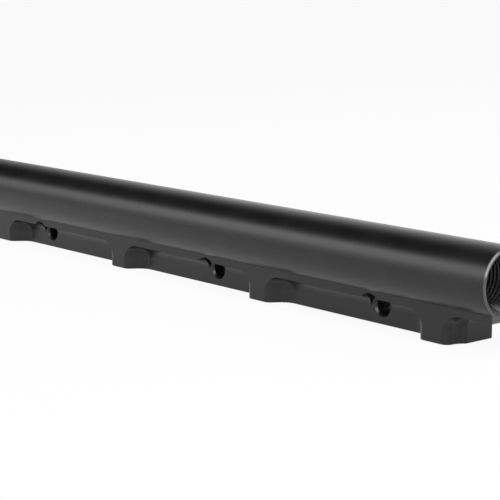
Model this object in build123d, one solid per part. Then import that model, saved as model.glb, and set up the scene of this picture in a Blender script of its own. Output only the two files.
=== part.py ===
from build123d import *
import os

# One-piece aluminium fuel rail for a four-cylinder engine: a round tube drawn in one with a deep web
# under it. The web's front is milled back between the injectors, which leaves a foot round each cup.
# Millimetres, +X along the rail, -Y to its front, +Z up. The origin is on the plane of the feet's
# bottoms, under the middle of the tube.

# Drawn section
tubeDiameter = 25.0
galleryDiameter = 17.5
tubeHeight = 22.9          # tube axis above the feet's bottoms
webFront = 7.7             # web's front face ahead of the tube axis; its rear is flush with the tube

# Injector cups
injectorCount = 4
injectorSpacing = 90.0
injectorSetback = 2.4      # cup axis behind the tube axis
cupDiameter = 14.0
cupRoof = 1.45             # metal left between a cup and the gallery over it
cupLeadIn = 1.0            # chamfer that guides the injector's seal ring
feedDiameter = 8.0

# Rail ends
endOverhang = 27.0         # tube end beyond the last injector
endEdgeBreak = 0.6
portDiameter = 19.05       # wall of the threaded port, at the roots of its thread
portDepth = 20.0
portLeadIn = 1.9           # countersink that starts the plug in the thread

# Pockets and the feet between them
bandHeight = 2.55          # front face left between the crease and the pocket roof
pocketDepth = 6.7
roofRadius = 5.4           # ball end of the cutter, between the pocket's floor and its roof
footFaceWidth = 10.7       # between the corners that the nose radius rounds off
footRootWidth = 20.0
footNoseRadius = 3.0
rootClearance = 0.6        # how much wider the cutter turns at a foot's root than its ball end
endFlank = 7.2             # straight outer side of each end foot, from its cup's axis
stepCornerRadius = 1.0     # where that side has stepped out to the web's end
stepFlat = 0.05            # straight left between the rounds of that step
stepClearance = 0.2        # how much wider it turns in that step than its ball end
webEdgeBreak = 0.3         # rear corners of the web's ends
footEdgeBreak = 0.2

# Mounting holes, through the web from pocket floor to rear face
outerHoleSpacing = 210.1
middleHoleOffset = 13.4    # middle hole to the right of the rail's middle
holeDrop = 3.8             # hole axis below the pocket roof
holeDiameter = 6.6
holeEdgeBreak = 0.7
headSeatDiameter = 11.0    # counterbore down to the pocket floor, which notches the roof

# Worked out from the sizes above, in heights above the feet's bottoms
overrun = 5.0              # how far a cutter runs past the surface it opens
tubeRadius = tubeDiameter / 2
webRear = tubeRadius
creaseHeight = tubeHeight - (tubeRadius ** 2 - webFront ** 2) ** 0.5
roofHeight = creaseHeight - bandHeight
holeHeight = roofHeight - holeDrop
cupDepth = tubeHeight - galleryDiameter / 2 - cupRoof
floorY = pocketDepth - webFront
footRootRadius = roofRadius + rootClearance
stepRootRadius = roofRadius + stepClearance
injectorSpan = (injectorCount - 1) * injectorSpacing
injectorPlaces = [i * injectorSpacing - injectorSpan / 2 for i in range(injectorCount)]
railLength = injectorSpan + 2 * endOverhang
holePlaces = [-outerHoleSpacing / 2, middleHoleOffset, outerHoleSpacing / 2]


def drawn_bar():
    # circle and web in one section, so the front face meets the tube in a sharp crease
    tube = Pos(0, tubeHeight) * Circle(tubeRadius)
    web = Pos(-webFront, 0) * Rectangle(webFront + webRear, tubeHeight, align=(Align.MIN, Align.MIN))
    return extrude(Plane.YZ * (tube + web), amount=railLength / 2, both=True)


def foot_line():
    # plan of the web's front and ends: in to each foot's face and back out to the pocket floor
    rootHalf, faceHalf = footRootWidth / 2, footFaceWidth / 2
    points, radii = [], []
    for x in injectorPlaces:
        points += [(x - rootHalf, floorY), (x - faceHalf, -webFront)]
        points += [(x + faceHalf, -webFront), (x + rootHalf, floorY)]
        radii += [footRootRadius, footNoseRadius, footNoseRadius, footRootRadius]
    # the end feet stand straight on the outside, then step out at 45 degrees to the web's ends
    turns = [footNoseRadius, stepRootRadius, stepCornerRadius]
    legs = [r * (2 ** 0.5 - 1) for r in turns]
    step = (legs[1] + stepFlat + legs[2]) / 2 ** 0.5
    side = injectorPlaces[-1] + endFlank
    stepY = footNoseRadius + stepFlat + legs[1] - webFront
    outer = [(side, -webFront), (side, stepY), (side + step, stepY + step),
             (side + step, webRear + overrun)]
    points = [(-x, y) for x, y in reversed(outer)] + points[2:-2] + outer
    return FilletPolyline(*points, radius=turns[::-1] + radii[2:-2] + turns)


def pocket_cutter():
    # everything ahead of the foot line and beyond it at the ends, with the ball end's round on top
    line = foot_line()
    first, last = line @ 0, line @ 1
    farX = railLength / 2 + overrun
    farY = -webFront - roofRadius - overrun
    around = Polyline(last, (farX, last.Y), (farX, farY), (-farX, farY), (-farX, first.Y), first)
    plan = make_face(line.edges() + around.edges())
    cutter = extrude(Pos(0, 0, -overrun) * plan, amount=roofHeight + overrun)
    inner = [e for e in cutter.edges().group_by(Axis.Z)[-1]
             if abs((e @ 0.5).X) < farX - overrun / 2 and (e @ 0.5).Y > farY + overrun / 2
             and (e @ 0.5).Y < webRear + overrun / 2]
    return fillet(inner, roofRadius)


def injector_cup(x):
    depth = tubeHeight - cupDepth
    cup = Cylinder(cupDiameter / 2, cupDepth, align=(Align.CENTER, Align.CENTER, Align.MIN))
    leadIn = Cone(cupDiameter / 2 + cupLeadIn, cupDiameter / 2, cupLeadIn,
                  align=(Align.CENTER, Align.CENTER, Align.MIN))
    feed = Pos(0, 0, cupDepth) * Cylinder(feedDiameter / 2, depth,
                                          align=(Align.CENTER, Align.CENTER, Align.MIN))
    return Pos(x, injectorSetback, 0) * (cup + leadIn + feed)


def gallery_and_ports():
    # turned profile of one half, from the middle of the rail out to the mouth of the port
    end = railLength / 2
    outline = Polyline(
        (0, 0), (0, galleryDiameter / 2),
        (end - portDepth, galleryDiameter / 2), (end - portDepth, portDiameter / 2),
        (end - portLeadIn, portDiameter / 2), (end, portDiameter / 2 + portLeadIn),
        (end, 0), (0, 0))
    half = revolve(Plane.XZ * make_face(outline), Axis.X)
    return Pos(0, 0, tubeHeight) * (half + mirror(half, Plane.YZ))


def mounting_hole(x):
    # axis to the rear; local Z runs from the pocket floor to the web's rear face
    depth = webRear - floorY
    bore = Cylinder(holeDiameter / 2, depth + overrun, align=(Align.CENTER, Align.CENTER, Align.MIN))
    edge = Cone(holeDiameter / 2 + holeEdgeBreak, holeDiameter / 2, holeEdgeBreak,
                align=(Align.CENTER, Align.CENTER, Align.MIN))
    seat = Cylinder(headSeatDiameter / 2, pocketDepth + overrun,
                    align=(Align.CENTER, Align.CENTER, Align.MAX))
    return Pos(x, floorY, holeHeight) * Rot(-90, 0, 0) * (bore + edge + seat)


def break_edges(rail):
    ends = rail.faces().group_by(Axis.X)
    outer = [f.outer_wire().edges() for f in (ends[0][0], ends[-1][0])]
    rail = chamfer(outer[0] + outer[1], endEdgeBreak)
    corners = [e for e in rail.edges().filter_by(Axis.Z)
               if abs(e.center().Y - webRear) < footEdgeBreak and e.center().Z < roofHeight]
    rail = fillet(corners, webEdgeBreak)
    under = rail.faces().sort_by(Axis.Z)[0]
    return chamfer(under.outer_wire().edges(), footEdgeBreak)


def rail_body():
    rail = drawn_bar() - pocket_cutter()
    rail = break_edges(rail)
    rail -= gallery_and_ports()
    for x in injectorPlaces:
        rail -= injector_cup(x)
    for x in holePlaces:
        rail -= mounting_hole(x)
    return rail


os.makedirs("parts", exist_ok=True)
body = rail_body()
export_step(body, "parts/rail_body.step")
print("rail_body", len(body.solids()), "solid", round(body.volume / 1000, 1), "cm3")
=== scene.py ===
import bpy
import math
from mathutils import Matrix, Vector


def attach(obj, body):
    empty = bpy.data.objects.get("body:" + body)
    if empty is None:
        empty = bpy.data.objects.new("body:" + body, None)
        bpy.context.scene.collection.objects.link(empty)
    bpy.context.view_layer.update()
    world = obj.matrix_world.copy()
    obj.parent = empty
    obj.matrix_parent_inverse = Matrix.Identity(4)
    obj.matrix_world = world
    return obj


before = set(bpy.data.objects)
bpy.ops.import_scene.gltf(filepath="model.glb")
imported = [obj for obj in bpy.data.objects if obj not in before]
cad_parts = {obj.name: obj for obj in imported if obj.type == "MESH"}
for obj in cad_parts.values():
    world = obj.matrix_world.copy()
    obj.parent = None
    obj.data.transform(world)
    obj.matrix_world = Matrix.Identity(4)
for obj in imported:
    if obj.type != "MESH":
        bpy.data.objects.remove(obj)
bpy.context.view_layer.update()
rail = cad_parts["rail_body"]
scene = bpy.context.scene
print("frame loaded")

mm = 0.001   # lengths written in millimetres are multiplied by this, and the rest are metres

# sizes of the drawn and milled bar that its finish and its threads need
railBody = {
    "tubeHeight": 22.9 * mm,        # tube axis above the feet's bottoms
    "halfLength": 162.0 * mm,
    "portRadius": 9.525 * mm,       # wall of each port, at the roots of its thread
    "portDepth": 20.0 * mm,
    "portLeadIn": 1.9 * mm,         # countersink at the port's mouth
    "galleryRadius": 8.75 * mm,
}


# selecting and shaping

def deselectAll():
    if bpy.context.object and bpy.context.object.mode != "OBJECT":
        bpy.ops.object.mode_set(mode="OBJECT")
    bpy.ops.object.select_all(action="DESELECT")


def makeActive(piece):
    deselectAll()
    piece.select_set(True)
    bpy.context.view_layer.objects.active = piece


def applyModifier(piece, name):
    makeActive(piece)
    bpy.ops.object.modifier_apply(modifier=name)


# nodes that the finish, the floor and the sky are made of

def feed(tree, socket, value):
    # a value is another node's socket, or a number or colour written on this one
    if isinstance(value, bpy.types.NodeSocket):
        tree.links.new(value, socket)
    else:
        socket.default_value = value


def addMath(tree, operation, *values):
    step = tree.nodes.new("ShaderNodeMath")
    step.operation = operation
    for socket, value in zip(step.inputs, values):
        feed(tree, socket, value)
    return step.outputs["Value"]


def addBlend(tree, factor, first, second):
    span = addMath(tree, "SUBTRACT", second, first)
    return addMath(tree, "MULTIPLY_ADD", factor, span, first)


def addRange(tree, source, start, stop, low=0, high=1):
    spread = tree.nodes.new("ShaderNodeMapRange")
    spread.inputs["From Min"].default_value = start
    spread.inputs["From Max"].default_value = stop
    spread.inputs["To Min"].default_value = low
    spread.inputs["To Max"].default_value = high
    tree.links.new(source, spread.inputs["Value"])
    return spread.outputs["Result"]


def addSplit(tree, vector):
    split = tree.nodes.new("ShaderNodeSeparateXYZ")
    tree.links.new(vector, split.inputs["Vector"])
    return [split.outputs[axis] for axis in "XYZ"]


def addNoise(tree, place, scale, detail, stretch=(1, 1, 1)):
    mapping = tree.nodes.new("ShaderNodeMapping")
    mapping.inputs["Scale"].default_value = stretch
    noise = tree.nodes.new("ShaderNodeTexNoise")
    noise.inputs["Scale"].default_value = scale
    noise.inputs["Detail"].default_value = detail
    tree.links.new(place, mapping.inputs["Vector"])
    tree.links.new(mapping.outputs["Vector"], noise.inputs["Vector"])
    return noise.outputs["Fac"]


def addRamp(tree, source, stops):
    # each stop is a place from 0 to 1 and the colour there, in order of place
    ramp = tree.nodes.new("ShaderNodeValToRGB")
    elements = ramp.color_ramp.elements
    for i, (place, colour) in enumerate(stops):
        stop = elements[i] if i < 2 else elements.new(place)   # a new ramp has two
        stop.position = place
        stop.color = colour
    tree.links.new(source, ramp.inputs["Fac"])
    return ramp.outputs["Color"]


def addColourMix(tree, factor, first, second):
    mix = tree.nodes.new("ShaderNodeMix")
    mix.data_type = "RGBA"
    feed(tree, mix.inputs["Factor"], factor)
    feed(tree, mix.inputs[6], first)     # this node's colours are at sockets 6 and 7,
    feed(tree, mix.inputs[7], second)    # and their mix is at 2
    return mix.outputs[2]


def addShaderMix(tree, factor, first, second):
    mix = tree.nodes.new("ShaderNodeMixShader")
    tree.links.new(factor, mix.inputs["Fac"])
    tree.links.new(first, mix.inputs[1])
    tree.links.new(second, mix.inputs[2])
    return mix.outputs["Shader"]


def addBump(tree, height, depth, strength, under=None):
    bump = tree.nodes.new("ShaderNodeBump")
    bump.inputs["Distance"].default_value = depth
    bump.inputs["Strength"].default_value = strength
    tree.links.new(height, bump.inputs["Height"])
    if under is not None:
        tree.links.new(under, bump.inputs["Normal"])
    return bump.outputs["Normal"]


def addSeenBy(tree, shares):
    # how much of a view is plain unlit white in place of lit shading, for each kind of ray that
    # looks at it
    rays = tree.nodes.new("ShaderNodeLightPath")
    total = 0
    for ray, share in shares.items():
        total = addMath(tree, "MULTIPLY_ADD", rays.outputs[ray], share, total)
    return total


def startMaterial(name):
    material = bpy.data.materials.new(name)
    material.use_nodes = True
    tree = material.node_tree
    tree.nodes.clear()
    output = tree.nodes.new("ShaderNodeOutputMaterial")
    shader = tree.nodes.new("ShaderNodeBsdfPrincipled")
    tree.links.new(shader.outputs["BSDF"], output.inputs["Surface"])
    place = tree.nodes.new("ShaderNodeTexCoord")
    return material, tree, shader, place.outputs["Object"]


# the rail's finish

anodising = {
    "dark": (0.0034, 0.0034, 0.0036, 1),
    "light": (0.0050, 0.0050, 0.0053, 1),
    "ior": 1.45,
    "cloudScale": 55,           # blotches in the dye, about 20 mm across
    "cloudDetail": 3,
    "dyeFrom": 0.35,            # cloud values at which the dye is darkest
    "dyeTo": 0.65,              # and lightest
    "smooth": 0.25,
    "rough": 0.30,
    "smoothFrom": 0.3,          # cloud values at which it is smoothest
    "roughTo": 0.7,             # and roughest
    "grainScale": 2600,         # etched grain, a few tenths of a millimetre
    "grainDetail": 2,
    "grainDepth": 0.02 * mm,
    "grainStrength": 0.22,
    "drawnScale": 420,          # faint lines along the bar, a few millimetres apart
    "drawnDetail": 2,
    "drawnStretch": (0.02, 1, 1),
    "drawnDepth": 0.03 * mm,
    "drawnStrength": 0.12,
    # the ends were turned after drawing, which left their faces and countersinks brighter
    "faceFrom": 161.5 * mm,
    "faceTo": 161.65 * mm,
    "mouthFrom": 160.0 * mm,
    "mouthTo": 160.2 * mm,
    "mouthRadius": 11.9 * mm,
    "turnedColour": (0.085, 0.085, 0.088, 1),
    "turnedMetal": 0.6,
    "turnedSmooth": 0.17,
}


def blackAnodised():
    a = anodising
    material, tree, shader, place = startMaterial("blackAnodised")
    shader.inputs["IOR"].default_value = a["ior"]

    # 1 on the turned surfaces and 0 on the rest
    x, y, z = addSplit(tree, place)
    fromMiddle = addMath(tree, "ABSOLUTE", x)
    endFace = addRange(tree, fromMiddle, a["faceFrom"], a["faceTo"])
    mouth = addRange(tree, fromMiddle, a["mouthFrom"], a["mouthTo"])
    up = addMath(tree, "SUBTRACT", z, railBody["tubeHeight"])
    squares = addMath(tree, "MULTIPLY_ADD", up, up, addMath(tree, "MULTIPLY", y, y))
    inside = addMath(tree, "LESS_THAN", addMath(tree, "SQRT", squares), a["mouthRadius"])
    turned = addMath(tree, "MAXIMUM", endFace, addMath(tree, "MULTIPLY", mouth, inside))

    clouds = addNoise(tree, place, a["cloudScale"], a["cloudDetail"])
    dye = addRamp(tree, clouds, [(a["dyeFrom"], a["dark"]), (a["dyeTo"], a["light"])])
    satin = addRange(tree, clouds, a["smoothFrom"], a["roughTo"], a["smooth"], a["rough"])
    colour = addColourMix(tree, turned, dye, a["turnedColour"])
    metal = addMath(tree, "MULTIPLY", turned, a["turnedMetal"])
    roughness = addBlend(tree, turned, satin, a["turnedSmooth"])

    drawn = addNoise(tree, place, a["drawnScale"], a["drawnDetail"], a["drawnStretch"])
    grain = addNoise(tree, place, a["grainScale"], a["grainDetail"])
    lines = addBump(tree, drawn, a["drawnDepth"], a["drawnStrength"])
    normal = addBump(tree, grain, a["grainDepth"], a["grainStrength"], lines)

    tree.links.new(colour, shader.inputs["Base Color"])
    tree.links.new(metal, shader.inputs["Metallic"])
    tree.links.new(roughness, shader.inputs["Roughness"])
    tree.links.new(normal, shader.inputs["Normal"])
    return material


black = blackAnodised()
for slot in rail.material_slots:
    slot.material = black
if not rail.material_slots:
    rail.data.materials.append(black)
print("rail anodised")


# port threads

portThread = {
    "pitch": 1.5875 * mm,          # sixteen to the inch
    "turns": 11,
    "crestWidth": 0.30 * mm,
    "rootFlat": 0.20 * mm,         # left between two teeth at the port's wall
    "sink": 0.06 * mm,             # how far a tooth's base runs into the wall
    "crestGap": 0.05 * mm,         # crests stand this far outside the gallery's bore
    "steps": 96,
    "mergeDistance": 0.001 * mm,
    "smoothAngle": 25,
    "bottomGap": 1.2 * mm,         # plain wall left at the port's bottom
}


def toothSection(piece):
    # the plane becomes one tooth's section: x along the bore, z out from its axis
    t, b = portThread, railBody
    baseHalf = (t["pitch"] - t["rootFlat"]) / 2
    crestHalf = t["crestWidth"] / 2
    rootRadius = b["portRadius"] + t["sink"]
    crestRadius = b["galleryRadius"] + t["crestGap"]
    corners = [(-baseHalf, rootRadius), (baseHalf, rootRadius),
               (crestHalf, crestRadius), (-crestHalf, crestRadius)]
    for index, (x, z) in zip(piece.data.polygons[0].vertices, corners):
        piece.data.vertices[index].co = (x, 0, z)


def windTooth(piece):
    # the section turns into a helix about the x axis
    t = portThread
    screw = piece.modifiers.new("helix", "SCREW")
    screw.axis = "X"
    screw.angle = 2 * math.pi
    screw.iterations = t["turns"]
    screw.screw_offset = t["pitch"]
    screw.steps = screw.render_steps = t["steps"]
    screw.use_smooth_shade = False
    applyModifier(piece, "helix")
    # each end of the helix gets its face
    bpy.ops.object.mode_set(mode="EDIT")
    bpy.ops.mesh.select_all(action="SELECT")
    bpy.ops.mesh.remove_doubles(threshold=t["mergeDistance"])
    bpy.ops.mesh.select_all(action="DESELECT")
    bpy.ops.mesh.select_non_manifold()
    bpy.ops.mesh.edge_face_add()
    bpy.ops.mesh.select_all(action="SELECT")
    bpy.ops.mesh.normals_make_consistent(inside=False)
    bpy.ops.object.mode_set(mode="OBJECT")


def trimMouth(piece, mouth):
    # the countersink's cone trims the crests, and what lies past the port's wall sinks into it
    t, b = portThread, railBody
    for vertex in piece.data.vertices:
        x, y, z = vertex.co
        radius = math.hypot(y, z)
        least = b["portRadius"] + (x - mouth)
        if x > mouth:
            least += t["sink"]
        if radius < least:
            vertex.co = (x, y * least / radius, z * least / radius)


def makeThread(name):
    t, b = portThread, railBody
    deselectAll()
    bpy.ops.mesh.primitive_plane_add(size=1, location=(0, 0, 0))
    piece = bpy.context.object
    piece.name = piece.data.name = name
    toothSection(piece)
    windTooth(piece)
    start = b["halfLength"] - b["portDepth"] + t["bottomGap"]
    trimMouth(piece, b["halfLength"] - b["portLeadIn"] - start)
    piece.data.transform(Matrix.Translation((start, 0, b["tubeHeight"])))
    makeActive(piece)
    bpy.ops.object.shade_smooth_by_angle(angle=math.radians(t["smoothAngle"]))
    return piece


rightThread = makeThread("port_thread_right")
leftThread = rightThread.copy()
leftThread.data = rightThread.data.copy()
leftThread.name = leftThread.data.name = "port_thread_left"
scene.collection.objects.link(leftThread)
leftThread.data.transform(Matrix.Rotation(math.pi, 4, "Z"))
for thread in (rightThread, leftThread):
    thread.data.materials.append(black)
    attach(thread, "root")
print("port threads cut")


# the floor

studioFloor = {
    "size": 12.0,
    "drop": 0.05 * mm,           # just under the feet, so that the two faces don't lie in one plane
    "grainScale": 40,
    "grainDetail": 2,
    "dark": (0.49, 0.49, 0.49, 1),
    "light": (0.51, 0.51, 0.51, 1),
    "roughness": 0.7,
    "specular": 0.2,
    "cameraShare": 0.92,         # how much of the floor is plain white to the camera
    "throughShare": 0.9,         # and through anything clear
    "paintedGlowNear": 0.60,          # painted glow: how much of it is plain white as the rail reflects it, close by, over the rail's own shadow
    "paintedGlowFar": 0.47,           # and farther off
    "nearReach": 0.04,
    "farReach": 0.20,
}


def paleFloor():
    f = studioFloor
    material, tree, shader, place = startMaterial("paleFloor")
    grain = addNoise(tree, place, f["grainScale"], f["grainDetail"])
    colour = addRamp(tree, grain, [(0, f["dark"]), (1, f["light"])])
    tree.links.new(colour, shader.inputs["Base Color"])
    shader.inputs["Roughness"].default_value = f["roughness"]
    shader.inputs["Specular IOR Level"].default_value = f["specular"]
    white = tree.nodes.new("ShaderNodeEmission")
    white.inputs["Strength"].default_value = 1

    x, y, z = addSplit(tree, place)
    fromRail = addMath(tree, "ABSOLUTE", y)
    # painted reflection: to the rail's reflections the floor glows whiter near the rail, where the
    # rail's shadow lies
    paintedGlowShare = addRange(tree, fromRail, f["nearReach"], f["farReach"],
                           f["paintedGlowNear"], f["paintedGlowFar"])
    seen = addSeenBy(tree, {"Is Camera Ray": f["cameraShare"],
                            "Is Transmission Ray": f["throughShare"],
                            "Is Glossy Ray": paintedGlowShare})
    top = addShaderMix(tree, seen, shader.outputs["BSDF"], white.outputs["Emission"])

    # from underneath the floor is clear, so that the rail's underside can be looked at
    side = tree.nodes.new("ShaderNodeNewGeometry")
    clear = tree.nodes.new("ShaderNodeBsdfTransparent")
    oneSided = addShaderMix(tree, side.outputs["Backfacing"], top, clear.outputs["BSDF"])
    tree.links.new(oneSided, tree.nodes["Material Output"].inputs["Surface"])
    return material


deselectAll()
bpy.ops.mesh.primitive_plane_add(size=studioFloor["size"], location=(0, 0, -studioFloor["drop"]))
floor = bpy.context.object
floor.name = "floor"
floor.data.materials.append(paleFloor())
print("floor laid")


# the sky, which stands for large soft lights all round

studioSky = {
    # degrees over the rail, from the horizon in front of it to the one behind, and the light there
    "turns": (0, 14, 26, 43, 52, 62, 100, 118, 136, 156, 180),
    "light": (1.05, 1.45, 2.9, 3.1, 0.85, 0.05, 0.0, 0.3, 0.75, 1.05, 1.05),
    # each From and To below is the x or y of a direction, from -1 to 1
    "sideLight": 0.3,            # to the right of the rail, where its end faces
    "cornerLight": 1.3,          # and ahead of that end
    "sideFrom": -0.45,           # between these the bands over the rail give way to it, along x
    "sideTo": -0.05,
    "cornerFrom": -0.75,         # and between these the corner does, along y
    "cornerTo": -0.35,
    "farShare": 0.30,            # how much is left at the far left
    "farFrom": -0.88,
    "farTo": -0.76,
}


def lightSky():
    s = studioSky
    world = bpy.data.worlds.new("studioWorld")
    scene.world = world
    world.use_nodes = True
    tree = world.node_tree
    tree.nodes.clear()
    direction = tree.nodes.new("ShaderNodeTexCoord")
    x, y, z = addSplit(tree, direction.outputs["Generated"])

    # colours stay within 1, and the strength makes up for it
    brightest = max(s["light"])
    halfTurn = s["turns"][-1]
    ahead = addMath(tree, "MULTIPLY", y, -1)
    turn = addMath(tree, "DIVIDE", addMath(tree, "ARCTAN2", z, ahead), math.pi)
    bands = addRamp(tree, turn, [(degrees / halfTurn, (light / brightest,) * 3 + (1,))
                                 for degrees, light in zip(s["turns"], s["light"])])
    rightward = addRange(tree, x, s["sideFrom"], s["sideTo"])
    side = addRange(tree, y, s["cornerFrom"], s["cornerTo"],
                    s["cornerLight"] / brightest, s["sideLight"] / brightest)
    colour = addColourMix(tree, rightward, bands, side)
    strength = addRange(tree, x, s["farFrom"], s["farTo"], s["farShare"] * brightest, brightest)

    lit = tree.nodes.new("ShaderNodeBackground")
    tree.links.new(colour, lit.inputs["Color"])
    tree.links.new(strength, lit.inputs["Strength"])
    white = tree.nodes.new("ShaderNodeBackground")
    white.inputs["Color"].default_value = (1, 1, 1, 1)
    seen = addSeenBy(tree, {"Is Camera Ray": 1})
    both = addShaderMix(tree, seen, lit.outputs["Background"], white.outputs["Background"])
    output = tree.nodes.new("ShaderNodeOutputWorld")
    tree.links.new(both, output.inputs["Surface"])


lightSky()
print("sky lit")


# two softboxes for the ends, and the camera

softboxes = {
    "keyBox": {
        "place": (0.70, -0.43, 0.94),
        "aim": (0.24, 0.07, 0.02),
        "roll": -13,
        "width": 1.05,
        "height": 1.75,
        "power": 28,
    },
    "backBox": {
        "place": (0.68, 1.0, 0.85),
        "aim": (0.16, 0, 0.02),
        "roll": 0,
        "width": 1.1,
        "height": 0.7,
        "power": 9,
    },
}


def addSoftbox(name):
    s = softboxes[name]
    lamp = bpy.data.lights.new(name, "AREA")
    lamp.shape = "RECTANGLE"
    lamp.size, lamp.size_y = s["width"], s["height"]
    lamp.energy = s["power"]
    box = bpy.data.objects.new(name, lamp)
    scene.collection.objects.link(box)
    box.location = s["place"]
    facing = (Vector(s["aim"]) - Vector(s["place"])).to_track_quat("-Z", "Y").to_matrix()
    box.rotation_euler = (facing @ Matrix.Rotation(math.radians(s["roll"]), 3, "Z")).to_euler()


for name in softboxes:
    addSoftbox(name)

viewpoint = {
    "place": (0.50179, -0.39482, 0.12518),
    "azimuth": 49.989,
    "elevation": 10.022,
    "roll": -0.102,
    "lens": 116.71,
    "sensorWidth": 36,
}


def addCamera():
    v = viewpoint
    data = bpy.data.cameras.new("camera")
    data.sensor_width = v["sensorWidth"]
    data.lens = v["lens"]
    camera = bpy.data.objects.new("camera", data)
    scene.collection.objects.link(camera)
    turn = Matrix.Rotation(math.radians(v["azimuth"]), 4, "Z")
    tilt = Matrix.Rotation(math.radians(90 - v["elevation"]), 4, "X")
    roll = Matrix.Rotation(math.radians(v["roll"]), 4, "Z")
    camera.matrix_world = Matrix.Translation(v["place"]) @ turn @ tilt @ roll
    scene.camera = camera


addCamera()
scene.view_settings.view_transform = "Standard"
print("studio ready")
